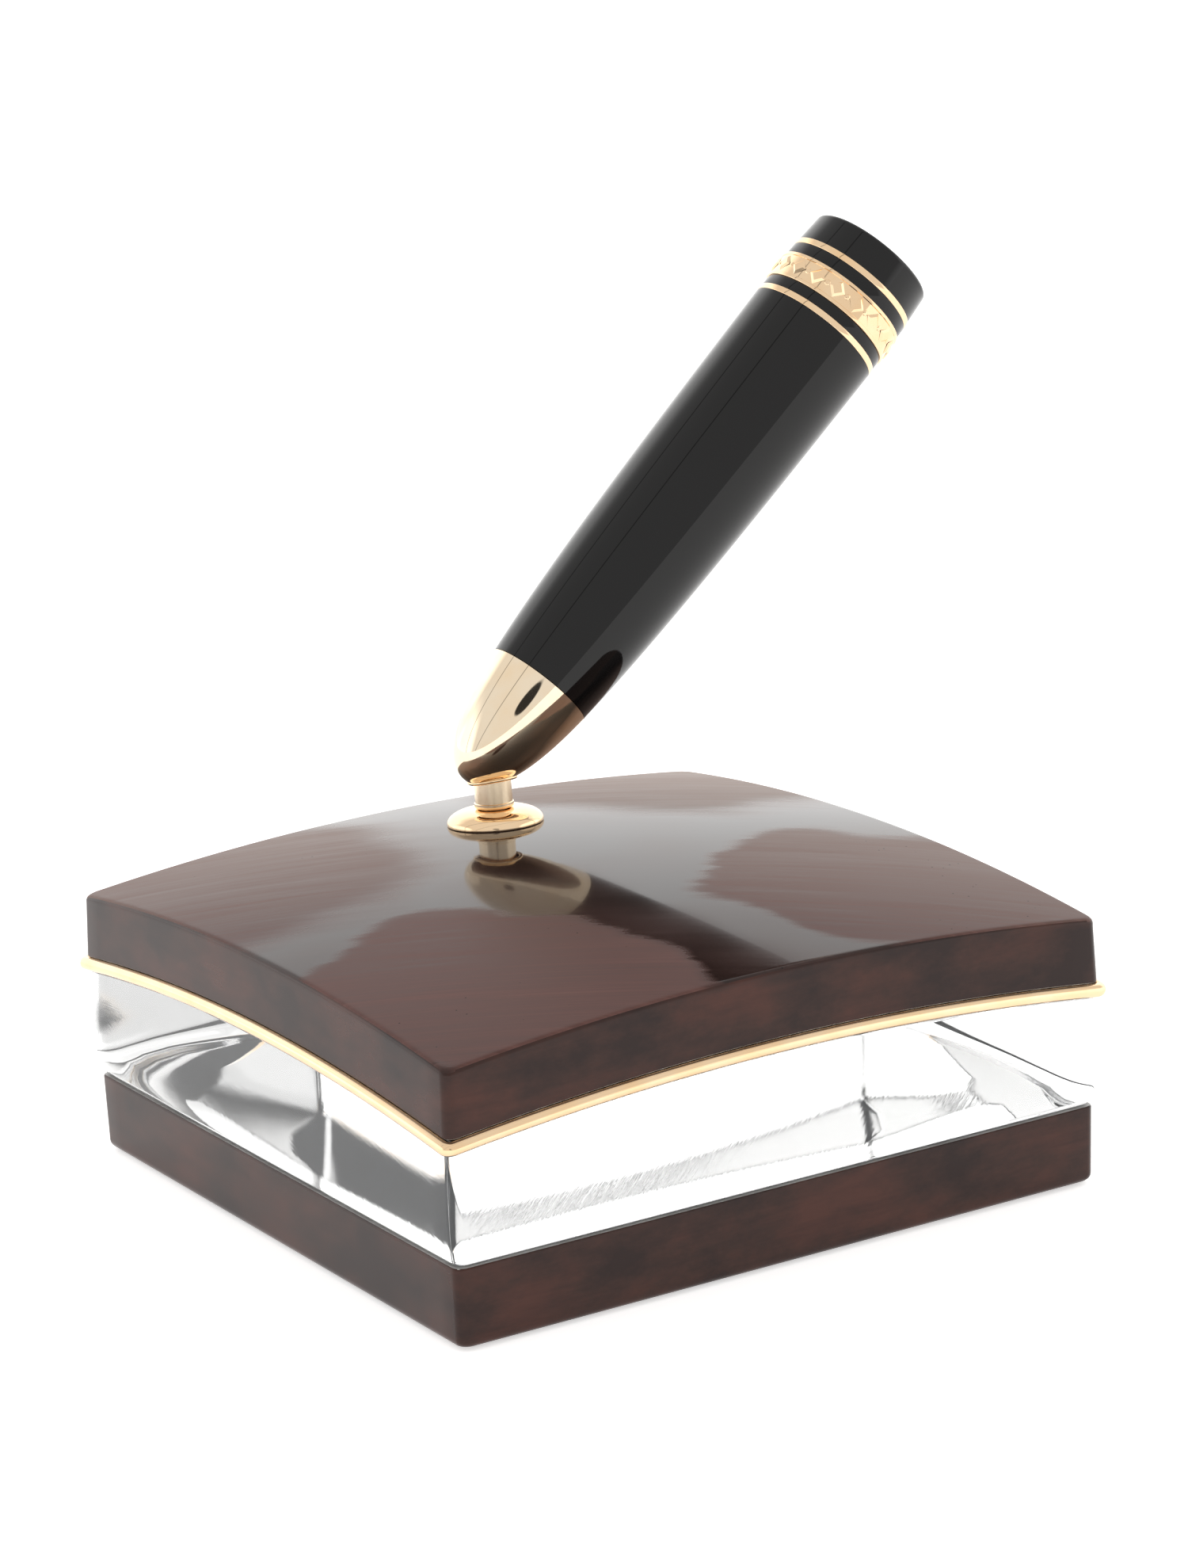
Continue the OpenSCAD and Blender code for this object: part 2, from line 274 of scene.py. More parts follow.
@cache
def waxed_lacquer_painted_glare():
    """The same lacquer where it is handled: dried wax lies in dull round patches between mirror-bright bands.

    The polishing cloth left fine, nearly parallel strokes in it. A pale painted glare is mixed into the wax's
    colour towards the back."""
    f = bpy.context.scene.pen_stand_finish
    material, tree, shader, place = begin("waxed_brown_lacquer_painted_glare")
    wander = cloudy(tree, place, 22, 1, 0.4)
    # A cloth leaves strokes about 0.1 mm wide, drawn 0.6 mm wide so that they show
    strokes = cloudy(tree, place, 0.6, 4, 0.6, (40, 1, 40), WIPE_TURN)
    wide_strokes = cloudy(tree, place, 3.2, 4, 0.6, (12, 1, 12), WIPE_TURN)
    drift = add(tree, "ShaderNodeMapRange", [wander, 0.25, 0.75, -5 * MM, 5 * MM])
    feather = add(tree, "ShaderNodeMapRange", [wide_strokes, 0.3, 0.7, -1.6 * MM, 1.6 * MM])
    drift = add(tree, "ShaderNodeMath", [drift, feather], operation="ADD")
    flat = add(tree, "ShaderNodeVectorMath", [place, (1, 1, 0)], operation="MULTIPLY")
    film = add(tree, "ShaderNodeMapRange", [wander, 0.42, 0.7, 0.04, 0.3])
    for x, y, radius, fade, strength in WAX_PATCHES:
        middle = (x * MM, y * MM, 0)
        gap = add(tree, "ShaderNodeVectorMath", [flat, middle], out="Value", operation="DISTANCE")
        gap = add(tree, "ShaderNodeMath", [gap, drift], operation="ADD")
        edge = ((radius - fade) * MM, radius * MM)
        patch = add(tree, "ShaderNodeMapRange", [gap, *edge, strength, 0], interpolation_type="SMOOTHSTEP")
        film = add(tree, "ShaderNodeMath", [film, patch], operation="MAXIMUM")
    depth = add(tree, "ShaderNodeMapRange", [wide_strokes, 0, 1, 0.4, 1.6])
    streaks = add(tree, "ShaderNodeMath", [strokes, depth], operation="MULTIPLY")
    stops = [(0.25, shade(f.wax, 0.82)), (0.5, f.wax), (0.8, shade(f.wax, 1.35))]
    wax = add(tree, "ShaderNodeValToRGB", [streaks], stops=stops)
    # Painted glare: the wax's colour pales towards the back right corner, from none to most over about 90 mm
    across = add(tree, "ShaderNodeVectorMath", [place, (11, 14, 0)], out="Value", operation="DOT_PRODUCT")
    painted_glare = add(tree, "ShaderNodeMapRange", [across, -0.4, 1.15, 0, 0.75])
    wax = add(tree, "ShaderNodeMix", {"Factor": painted_glare, 6: wax, 7: rgba(f.painted_glare)}, out=2, data_type="RGBA")
    # From here the wax's colour carries the painted glare as well
    bare = rgba(f.lacquer_top)
    body = add(tree, "ShaderNodeMix", {"Factor": film, 6: bare, 7: wax}, out=2, data_type="RGBA")
    where = add(tree, "ShaderNodeMapRange", [wander, 0.52, 0.6, 0, 1])
    dust = add(tree, "ShaderNodeMath", [pits(tree, place, 1.8, 0.15), where], operation="MULTIPLY")
    black = (0.01, 0.006, 0.005, 1)
    body = add(tree, "ShaderNodeMix", {"Factor": dust, 6: body, 7: black}, out=2, data_type="RGBA")
    dull = add(tree, "ShaderNodeMapRange", [streaks, 0.25, 0.75, 0.34, 0.5])
    gloss = add(tree, "ShaderNodeMath", [film, dull, 0.03], operation="MULTIPLY_ADD")
    height = add(tree, "ShaderNodeMath", [streaks, dust], operation="SUBTRACT")
    feed(
        shader,
        {
            "Base Color": body,
            "Roughness": gloss,
            "IOR": 1.21,
            "Coat Weight": add(tree, "ShaderNodeMapRange", [film, 0.0, 0.8, 0.3, 0.0]),
            "Coat Roughness": 0.02,
            "Normal": relief(tree, height, 0.06, 0.02),
        },
    )
    return material


@cache
def bed_lacquer_painted_light():
    """Lacquer sanded dull where the crystal beds on it, with straight sanding scratches. Its pale grey is painted
    light that brightens the bands seen through the crystal.
    """
    material, tree, shader, place = begin("sanded_lacquer_bed_painted_light")
    # 400 grit cuts scratches of about 0.03 mm, drawn 0.35 mm wide so that they show
    scratches = cloudy(tree, place, 0.35, 4, 0.65, (30, 1, 30), WIPE_TURN)
    mist = cloudy(tree, place, 10, 3)
    grey = add(tree, "ShaderNodeMath", [scratches, 0.6, 0.2], operation="MULTIPLY_ADD")
    grey = add(tree, "ShaderNodeMath", [mist, 0.4, grey], operation="MULTIPLY_ADD")
    # The pale greys are painted light, standing in for light seen on these faces through the crystal
    stops = [(0.5, linear("#8f8b88")), (0.7, linear("#b4b1ae")), (0.85, linear("#d6d4d1"))]
    body = add(tree, "ShaderNodeValToRGB", [grey], stops=stops)
    gloss = add(tree, "ShaderNodeMapRange", [scratches, 0, 1, 0.25, 0.5])
    feed(shader, {"Base Color": body, "Roughness": gloss, "Normal": relief(tree, scratches, 0.3, 0.03)})
    return material


CRYSTAL_IOR = 1.52


@cache
def clear_crystal():
    """Lead crystal, pressed and fire-polished: quite clear, with faces that wave a little."""
    material, tree, shader, place = begin("fire_polished_crystal")
    feed(
        shader,
        {
            "Base Color": rgba(bpy.context.scene.pen_stand_finish.crystal),
            "Transmission Weight": 1.0,
            "IOR": CRYSTAL_IOR,
            "Roughness": 0.012,
            "Normal": relief(tree, cloudy(tree, place, 14, 1, 0.4), 0.25, 0.06),
        },
    )
    return material


@cache
def ground_crystal():
    """The crystal's faces that bed on the slabs, ground flat and polished out.

    They give a faint grey veil with grinding strokes, which feathers the dark bands in the block."""
    material, tree, shader, place = begin("ground_crystal_bed")
    # Grinding strokes of about 0.05 mm, drawn 0.5 mm wide so that they show
    strokes = cloudy(tree, place, 0.5, 4, 0.6, (24, 1, 24), 58)
    feed(
        shader,
        {
            "Base Color": rgba(linear("#dfe4ea")),
            "Transmission Weight": 0.85,
            "IOR": CRYSTAL_IOR,
            "Roughness": add(tree, "ShaderNodeMapRange", [strokes, 0.3, 0.7, 0.0, 0.035]),
            "Normal": relief(tree, strokes, 0.25, 0.03),
        },
    )
    return material


def plated(name, colour, low, high, grain_mm, strength=0.03):
    """Gold plate over brass. Its gloss carries faint wipe marks, and its colour drifts a little."""
    material, tree, shader, place = begin(name)
    warmer = (colour[0], colour[1] * 0.93, colour[2] * 0.84)
    tone = add(tree, "ShaderNodeValToRGB", [cloudy(tree, place, 5)], stops=[(0.3, warmer), (0.6, colour)])
    wipe = cloudy(tree, place, grain_mm, 4, 0.6)
    gloss = add(tree, "ShaderNodeMapRange", [wipe, 0.3, 0.7, low, high])
    normal = relief(tree, wipe, strength, 0.02)
    feed(shader, {"Base Color": tone, "Metallic": 1.0, "Roughness": gloss, "Normal": normal})
    return material


@cache
def gold_plate():
    """Warm gold plate, buffed: near a mirror."""
    return plated("buffed_gold_plate", bpy.context.scene.pen_stand_finish.gold, 0.02, 0.09, 1.5)


@cache
def champagne_plate():
    """Champagne gold plate, buffed: a pale mirror."""
    colour = bpy.context.scene.pen_stand_finish.pale_gold
    return plated("buffed_champagne_plate", colour, 0.01, 0.06, 2.5, 0.02)


@cache
def satin_plate():
    """Champagne gold plate over fine turning marks: a soft satin that spreads each highlight."""
    colour = bpy.context.scene.pen_stand_finish.pale_gold
    return plated("satin_champagne_plate", colour, 0.2, 0.26, 3.0, 0.0)


@cache
def black_resin():
    """Cast acrylic resin, buffed: deep black under a clean gloss with faint wipe marks."""
    material, tree, shader, place = begin("buffed_black_resin")
    wipe = cloudy(tree, place, 2.5, 4, 0.65)
    feed(
        shader,
        {
            "Base Color": rgba(bpy.context.scene.pen_stand_finish.resin),
            "IOR": 1.42,
            "Roughness": add(tree, "ShaderNodeMapRange", [wipe, 0.3, 0.7, 0.015, 0.06]),
            "Normal": relief(tree, wipe, 0.02, 0.02),
        },
    )
    return material


@cache
def plain_solid(name, hex_code, metallic, low, high, grain_mm):
    """A plain finish with its own grain in gloss and relief, for pieces inside the stand."""
    material, tree, shader, place = begin(name)
    colour = linear(hex_code)
    grain = cloudy(tree, place, grain_mm, 4, 0.6)
    body = add(tree, "ShaderNodeValToRGB", [grain], stops=[(0.3, shade(colour, 0.82)), (0.7, colour)])
    gloss = add(tree, "ShaderNodeMapRange", [grain, 0, 1, low, high])
    normal = relief(tree, grain, 0.1, 0.03)
    feed(shader, {"Base Color": body, "Metallic": metallic, "Roughness": gloss, "Normal": normal})
    return material


@cache
def pressed_felt():
    """Pressed wool felt: matte and fibrous."""
    material, tree, shader, place = begin("pressed_wool_felt")
    colour = bpy.context.scene.pen_stand_finish.felt
    # Wool fibres are about 0.03 mm thick, and are drawn as tufts of 0.5 mm so that they show
    fibre = cloudy(tree, place, 0.5, 6, 0.75)
    stops = [(0.3, shade(colour, 0.6)), (0.7, shade(colour, 1.5))]
    body = add(tree, "ShaderNodeValToRGB", [fibre], stops=stops)
    normal = relief(tree, fibre, 0.6, 0.2)
    feed(shader, {"Base Color": body, "Roughness": 0.95, "Sheen Weight": 0.3, "Normal": normal})
    return material


# ---------------------------------------------------------------- mesh helpers


def link_mesh(name, mesh):
    """A new object in the scene with this mesh."""
    piece = bpy.data.objects.new(name, mesh)
    bpy.context.collection.objects.link(piece)
    return piece


def smooth(piece, below=32):
    """Merges doubles, turns the faces outwards and smooths across the edges flatter than the angle."""
    work = bmesh.new()
    work.from_mesh(piece.data)
    bmesh.ops.remove_doubles(work, verts=work.verts, dist=1e-7)
    bmesh.ops.recalc_face_normals(work, faces=work.faces)
    work.to_mesh(piece.data)
    work.free()
    piece.data.shade_smooth()
    piece.data.set_sharp_from_angle(angle=math.radians(below))


def new_piece(name, vertices, faces, material, smooth_below=32):
    """A mesh object in the frame's metres."""
    mesh = bpy.data.meshes.new(name)
    mesh.from_pydata(vertices, [], faces)
    mesh.materials.append(material)
    piece = link_mesh(name, mesh)
    smooth(piece, smooth_below)
    return piece


def take_result(piece, smooth_below=32):
    """Makes what the modifiers give the piece's own mesh, and drops them."""
    bpy.context.view_layer.update()
    graph = bpy.context.evaluated_depsgraph_get()
    result = bpy.data.meshes.new_from_object(piece.evaluated_get(graph))
    piece.modifiers.clear()
    old, piece.data = piece.data, result
    bpy.data.meshes.remove(old)
    result.name = piece.name
    smooth(piece, smooth_below)


def paint_faces(piece, material, wanted):
    """Gives the faces that are wanted another finish."""
    piece.data.materials.append(material)
    for face in piece.data.polygons:
        if wanted(face):
            face.material_index = len(piece.data.materials) - 1


def settle(piece, body, slot, *nodes):
    """Puts a finished piece on its body, in place of the nodes it stands for. Its slot is not used."""
    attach(piece, body)
    if nodes:
        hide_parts(*nodes)
    return piece


def join_rows(rows, count, closed=False):
    """Faces between neighbouring rows of points. A row that repeats one point makes a pole."""
    pairs = list(zip(rows, rows[1:]))
    if closed:
        pairs.append((rows[-1], rows[0]))
    faces = []
    for low, high in pairs:
        for i in range(count):
            j = (i + 1) % count
            corners = list(dict.fromkeys([low[i], low[j], high[j], high[i]]))
            if len(corners) > 2:
                faces.append(corners)
    return faces


def turned(name, outline, place, material, steps=128, closed=True):
    """Turns an outline of (radius, height) millimetres about the place's Z axis. Radius 0 makes a pole."""
    vertices, rows = [], []
    for radius, height in outline:
        if radius < 1e-6:
            rows.append([len(vertices)] * steps)
            vertices.append(place @ Vector((0, 0, height * MM)))
            continue
        rows.append(range(len(vertices), len(vertices) + steps))
        for i in range(steps):
            angle = 2 * math.pi * i / steps
            spot = Vector((radius * math.cos(angle), radius * math.sin(angle), height)) * MM
            vertices.append(place @ spot)
    return new_piece(name, vertices, join_rows(rows, steps, closed), material)


def arc(centre, radius, start, end, steps=5):
    """Points of an arc, in millimetres and degrees."""
    angles = [math.radians(start + (end - start) * i / steps) for i in range(steps + 1)]
    return [(centre[0] + radius * math.cos(a), centre[1] + radius * math.sin(a)) for a in angles]


def bezier(a, b, c, d, steps):
    """Points of a cubic curve."""
    points = []
    for i in range(steps + 1):
        t = i / steps
        weights = ((1 - t) ** 3, 3 * (1 - t) ** 2 * t, 3 * (1 - t) * t * t, t**3)
        points.append(tuple(sum(w * p[k] for w, p in zip(weights, (a, b, c, d))) for k in (0, 1)))
    return points


def box_ring(inner, outer, low, high, edge):
    """Section of a ring with softened outer edges."""
    return [
        (inner, low),
        *arc((outer - edge, low + edge), edge, -90, 0, 3),
        *arc((outer - edge, high - edge), edge, 0, 90, 3),
        (inner, high),
    ]


def square_outline(half, corner, side_steps=28, corner_steps=7):
    """Points round a square with rounded corners, in millimetres."""
    inner = half - corner
    points = []
    for quarter in range(4):
        turn = Matrix.Rotation(quarter * math.pi / 2, 2)
        for i in range(corner_steps + 1):
            angle = math.pi / 2 * i / corner_steps
            spot = Vector((inner + corner * math.cos(angle), inner + corner * math.sin(angle)))
            points.append(turn @ spot)
        for i in range(1, side_steps):
            points.append(turn @ Vector((inner - 2 * inner * i / side_steps, half)))
    return points


def dome_drop(radius, x, y):
    """How far a dome has fallen below its crown at a place."""
    return radius - math.sqrt(radius * radius - x * x - y * y)


def square_shell(name, rings, material, smooth_below=32):
    """Joins square rings of (half width, corner radius, height, dome radius or None), in millimetres.

    A height with a dome radius is the crown's, and the ring follows the dome. A half width of 0 is a pole."""
    vertices, rows = [], []
    count = len(square_outline(10, 1))
    for half, corner, height, dome in rings:
        if half == 0:
            rows.append([len(vertices)] * count)
            vertices.append(Vector((0, 0, height)) * MM)
            continue
        rows.append(range(len(vertices), len(vertices) + count))
        for spot in square_outline(half, corner):
            drop = dome_drop(dome, spot.x, spot.y) if dome else 0
            vertices.append(Vector((spot.x, spot.y, height - drop)) * MM)
    return new_piece(name, vertices, join_rows(rows, count), material, smooth_below)


def face_rings(half, corner, height, dome, steps=14):
    """Rings that close a face from its rim to its middle."""
    rings = []
    for i in range(1, steps):
        share = 1 - i / steps
        rings.append((half * share, min(corner, half * share * 0.5), height, dome))
    return [*rings, (0, 0, height, dome)]


def cut(piece, cutter, smooth_below=32):
    """Takes the cutter's solid out of the piece and removes the cutter."""
    change = piece.modifiers.new("cut", "BOOLEAN")
    change.operation = "DIFFERENCE"
    change.solver = "EXACT"
    change.object = cutter
    take_result(piece, smooth_below)
    used = cutter.data
    bpy.data.objects.remove(cutter)
    bpy.data.meshes.remove(used)


# ---------------------------------------------------------------- node trees for paths and repeats


def new_tree(name, **sockets):
    """A Geometry Nodes tree with named inputs, and the inputs' own sockets by name."""
    tree = bpy.data.node_groups.new(name, "GeometryNodeTree")
    tree.interface.new_socket("Geometry", in_out="INPUT", socket_type="NodeSocketGeometry")
    for label, kind in sockets.items():
        tree.interface.new_socket(label.replace("_", " "), in_out="INPUT", socket_type="NodeSocket" + kind)
    tree.interface.new_socket("Geometry", in_out="OUTPUT", socket_type="NodeSocketGeometry")
    return tree, add(tree, "NodeGroupInput", out=None)


def close_tree(tree, geometry, finish):
    """Ends a tree in real geometry with its finish."""
    real = add(tree, "GeometryNodeRealizeInstances", [geometry])
    painted = add(tree, "GeometryNodeSetMaterial", {"Geometry": real, "Material": finish})
    add(tree, "NodeGroupOutput", [painted], out=None)
    return tree


def grow(piece, tree, settings, smooth_below=32):
    """Runs a tree on the piece with these settings and keeps the result as its mesh."""
    change = piece.modifiers.new(tree.name, "NODES")
    change.node_group = tree
    for item in tree.interface.items_tree:
        if item.item_type == "SOCKET" and item.in_out == "INPUT" and item.name in settings:
            change[item.identifier] = settings[item.name]
    take_result(piece, smooth_below)


def wire_tree():
    """A round wire that follows the piece's edges."""
    tree, given = new_tree("bent_wire", Radius="Float", Sides="Int", Finish="Material")
    path = add(tree, "GeometryNodeMeshToCurve", {"Mesh": given["Geometry"]})
    section = {"Resolution": given["Sides"], "Radius": given["Radius"]}
    section = add(tree, "GeometryNodeCurvePrimitiveCircle", section)
    skin = add(tree, "GeometryNodeCurveToMesh", {"Curve": path, "Profile Curve": section})
    return close_tree(tree, skin, given["Finish"])


def bent_wire(name, points, radius_mm, material, sides=20):
    """A closed loop of round wire through these points."""
    count = len(points)
    mesh = bpy.data.meshes.new(name)
    mesh.from_pydata(points, [(i, (i + 1) % count) for i in range(count)], [])
    wire = link_mesh(name, mesh)
    tree = bpy.data.node_groups.get("bent_wire") or wire_tree()
    grow(wire, tree, {"Radius": radius_mm * MM, "Sides": sides, "Finish": material}, 60)
    return wire


def relief_tree():
    """Raised lozenges with small bosses between them, round a band that lies about Z."""
    tree, given = new_tree(
        "band_relief", Motifs="Int", Radius="Float", Height="Float", Relief="Float", Finish="Material"
    )

    def ring_of(shape, turn, size):
        spots = add(tree, "GeometryNodeMeshCircle", {"Vertices": given["Motifs"], "Radius": given["Radius"]})
        spots = add(tree, "GeometryNodeTransform", {"Geometry": spots, "Rotation": turn})
        outward = {"Vector": add(tree, "GeometryNodeInputPosition")}
        outward = add(tree, "FunctionNodeAlignRotationToVector", outward, axis="Z")
        upright = {"Rotation": outward, "Vector": (0, 0, 1)}
        upright = add(tree, "FunctionNodeAlignRotationToVector", upright, axis="Y", pivot_axis="Z")
        placed = {"Points": spots, "Instance": shape, "Rotation": upright, "Scale": size}
        return add(tree, "GeometryNodeInstanceOnPoints", placed)

    four_sided = {"Vertices": 4, "Radius Top": 0.62, "Radius Bottom": 1.0, "Depth": 1.0}
    lozenge = add(tree, "GeometryNodeMeshCone", four_sided)
    boss = add(tree, "GeometryNodeMeshUVSphere", {"Segments": 10, "Rings": 6, "Radius": 1.0})
    half_pitch = add(tree, "ShaderNodeMath", [math.pi, given["Motifs"]], operation="DIVIDE")
    half_turn = add(tree, "ShaderNodeCombineXYZ", {"Z": half_pitch})
    depth = add(tree, "ShaderNodeMath", [given["Relief"], 2.0], operation="MULTIPLY")
    lozenge_size = add(tree, "ShaderNodeCombineXYZ", [1.25 * MM, 1.3 * MM, depth])
    boss_size = add(tree, "ShaderNodeCombineXYZ", [0.42 * MM, 0.42 * MM, given["Relief"]])
    rings = add(tree, "GeometryNodeJoinGeometry", [ring_of(lozenge, (0, 0, 0), lozenge_size)])
    tree.links.new(ring_of(boss, half_turn, boss_size), rings.node.inputs[0])
    lift = add(tree, "ShaderNodeCombineXYZ", {"Z": given["Height"]})
    raised = add(tree, "GeometryNodeTransform", {"Geometry": rings, "Translation": lift})
    whole = add(tree, "GeometryNodeJoinGeometry", [raised])
    tree.links.new(given["Geometry"], whole.node.inputs[0])
    return close_tree(tree, whole, given["Finish"])


# ---------------------------------------------------------------- places from the frame


def mount_place():
    """The stem's foot: Z stands square to the dome."""
    joint = JOINTS["swivel"]
    axis = Vector(joint["axis"]).normalized()
    turn = Vector((0, 0, 1)).rotation_difference(axis)
    return Matrix.Translation(joint["pos_m"]) @ turn.to_matrix().to_4x4()


def holder_place():
    """The ball's centre: Z runs up the holder, and Y is the tilt axis."""
    joint = JOINTS["holder_tilt"]
    along = Vector(MOUNTS["pen_mouth"]["axis"]).normalized()
    across = Vector(joint["axis"]).normalized()
    side = across.cross(along)
    turn = Matrix((side, across, along)).transposed().to_4x4()
    return Matrix.Translation(joint["pos_m"]) @ turn


def ring_places(s):
    """Where each ring on the holder starts, and the last one ends, in millimetres up the holder."""
    places = [s.first_ring / MM]
    for width in (s.ring_width, s.lower_spacer, s.band_width, s.upper_spacer, s.ring_width):
        places.append(places[-1] + width / MM)
    return places


def levels():
    """Millimetres up to the foot, the base slab's top, the crystal's crown, the bead's and the top's."""
    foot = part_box("base_slab")[0].z / MM
    base_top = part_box("base_slab")[1].z / MM
    seat_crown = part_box("crystal_block")[1].z / MM
    bead = bpy.context.scene.pen_stand_block.bead_height / MM
    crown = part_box("top_slab")[1].z / MM
    return foot, base_top, seat_crown, seat_crown + bead, crown


# ---------------------------------------------------------------- operators


class BuildBaseSlab(bpy.types.Operator):
    """Makes the lacquered base slab and the felt under it"""

    bl_idname = "pen_stand.base_slab"
    bl_label = "Base slab and felt"

    def execute(self, context):
        s = context.scene.pen_stand_block
        foot, top, _, _, _ = levels()
        top -= s.air_gap / MM
        half, corner = s.foot_width / 2 / MM, s.corner_radius / MM
        low_edge, high_edge, spread = 1.0, 0.25, 0.15
        felt_low, felt_high = (corner_.z / MM for corner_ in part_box("felt_sole"))
        pocket, pocket_corner, slack = node_size("felt_sole", 0) / 2 / MM, 0.2, 0.1
        rings = list(reversed(face_rings(pocket, pocket_corner, felt_high, None, 4)))
        rings += [(pocket, pocket_corner, height, None) for height in (felt_high, foot)]
        rings += [(half - low_edge - 0.2, corner, foot, None)]
        for step_in, rise in arc((low_edge, low_edge), low_edge, -90, -180, 5):
            rings.append((half - step_in, corner, foot + rise, None))
        rings.append((half + 0.01, corner, foot + low_edge + 0.3, None))
        rings.append((half + spread, corner, top - high_edge - 0.2, None))
        for step_in, drop in arc((high_edge, high_edge), high_edge, 180, 90, 4):
            rings.append((half + spread - step_in, corner, top - 2 * high_edge + drop, None))
        flat = half + spread - high_edge - 0.3
        rings.append((flat, corner, top, None))
        rings += face_rings(flat, corner, top, None)
        piece = square_shell("base_slab_lacquered", rings, brown_lacquer())
        # The base slab's top under the crystal takes the pale grey of painted light
        paint_faces(piece, bed_lacquer_painted_light(), lambda face: face.normal.z > 0.9)
        settle(piece, "block", "brown_lacquer", "base_slab")
        cut_half, felt_top = pocket - slack, felt_high - 0.02
        rings = list(reversed(face_rings(cut_half, pocket_corner, felt_low, None, 6)))
        rings += [(cut_half, pocket_corner, height, None) for height in (felt_low, felt_top)]
        rings += face_rings(cut_half, pocket_corner, felt_top, None, 6)
        felt = square_shell("felt_sheet", rings, pressed_felt())
        settle(felt, "block", "felt", "felt_sole")
        return {"FINISHED"}


class BuildCrystal(bpy.types.Operator):
    """Makes the clear crystal block with its bulging sides"""

    bl_idname = "pen_stand.crystal"
    bl_label = "Crystal block"

    def execute(self, context):
        s = context.scene.pen_stand_block
        _, low, crown, _, _ = levels()
        half, corner = s.foot_width / 2 / MM, s.corner_radius / MM
        gap, dome = s.air_gap / MM, s.seat_radius / MM
        low += gap / 2
        crown -= gap
        edge, rim = 1.3, 0.55
        swell = ((0.3, edge), (0.62, 2.6), (0.74, 4.2), (0.72, 6.5), (0.64, 9.5), (0.58, 12.0))
        rings = list(reversed(face_rings(half - edge, corner, low, None)))
        rings.append((half - edge, corner, low, None))
        for step_in, rise in arc((edge, edge), edge, -90, -165, 6):
            rings.append((half + swell[0][0] - step_in, corner, low + rise, None))
        rings += [(half + step_out, corner, low + rise, None) for step_out, rise in swell[1:]]
        rings += [(half + rim, corner, crown - drop, dome) for drop in (1.2, 0.5)]
        for step_in, rise in arc((0.3, -0.3), 0.3, 180, 90, 3):
            rings.append((half + rim - step_in, corner, crown + rise, dome))
        rings.append((half - 0.2, corner, crown, dome))
        rings += face_rings(half - 0.2, corner, crown, dome)
        piece = square_shell("crystal_polished", rings, clear_crystal(), smooth_below=50)
        paint_faces(piece, ground_crystal(), lambda face: abs(face.normal.z) > 0.8)
        settle(piece, "block", "crystal", "crystal_block")
        return {"FINISHED"}


class BuildTopSlab(bpy.types.Operator):
    """Makes the domed, lacquered top slab with its rebate, bore and recess"""

    bl_idname = "pen_stand.top_slab"
    bl_label = "Top slab"

    def execute(self, context):
        s = context.scene.pen_stand_block
        _, _, seat, strip, crown = levels()
        half, corner = s.foot_width / 2 / MM, s.corner_radius / MM
        dome, under = s.dome_radius / MM, s.seat_radius / MM
        edge = s.edge_radius / MM
        bead_depth, rebate_corner = 2.4, 0.2
        rebate = node_size("trim_bead", 0) / 2 / MM - bead_depth
        low_half, high_half = half + 0.85, half + 0.62
        rings = list(reversed(face_rings(rebate, rebate_corner, seat, under)))
        rings += [(rebate, rebate_corner, height, under) for height in (seat, strip)]
        rings += [(low_half - 0.15, corner, strip, under), (low_half, corner, strip + 0.15, under)]
        rings += [(low_half, corner, strip + 0.5, under)]
        rings.append((high_half, corner, crown - edge - 0.3, dome))
        for step_in, rise in arc((edge, -edge), edge, 180, 90, 6):
            rings.append((high_half - step_in, corner, crown + rise, dome))
        flat = high_half - edge - 0.4
        rings.append((flat, corner, crown, dome))
        rings += face_rings(flat, corner, crown, dome, 22)
        piece = square_shell("top_slab_lacquered", rings, brown_lacquer())
        # The bush's bore right through, and the recess for its nut from below
        for name, radius, low, high, steps in (("bore", 4.0, -7, 3, 48), ("recess", 8.0, -14, -5, 64)):
            outline = [(0, low), (radius, low), (radius, high), (0, high)]
            cut(piece, turned(name + "_cutter", outline, mount_place(), brown_lacquer(), steps))
        # The top takes the wax with its painted glare
        paint_faces(piece, waxed_lacquer_painted_glare(), lambda face: face.normal.z > 0.6)
        # The top slab's underside takes the pale grey of painted light
        paint_faces(piece, bed_lacquer_painted_light(), lambda face: face.normal.z < -0.6)
        settle(piece, "block", "brown_lacquer", "top_slab")
        return {"FINISHED"}


class BuildBead(bpy.types.Operator):
    """Bends the gold bead round the block"""

    bl_idname = "pen_stand.bead"
    bl_label = "Gold bead"

    def execute(self, context):
        s = context.scene.pen_stand_block
        _, _, seat, strip, _ = levels()
        radius = s.bead_height / 2 / MM - 0.02
        half = node_size("trim_bead", 0) / 2 / MM - radius
        middle, seat_radius, corner = (seat + strip) / 2, s.seat_radius / MM, 0.85
        path = []
        for spot in square_outline(half, corner):
            height = middle - dome_drop(seat_radius, spot.x, spot.y)
            path.append(Vector((spot.x, spot.y, height)) * MM)
        piece = bent_wire("bead_bent", path, radius, gold_plate())
        settle(piece, "block", "gold_plate", "trim_bead")
        return {"FINISHED"}


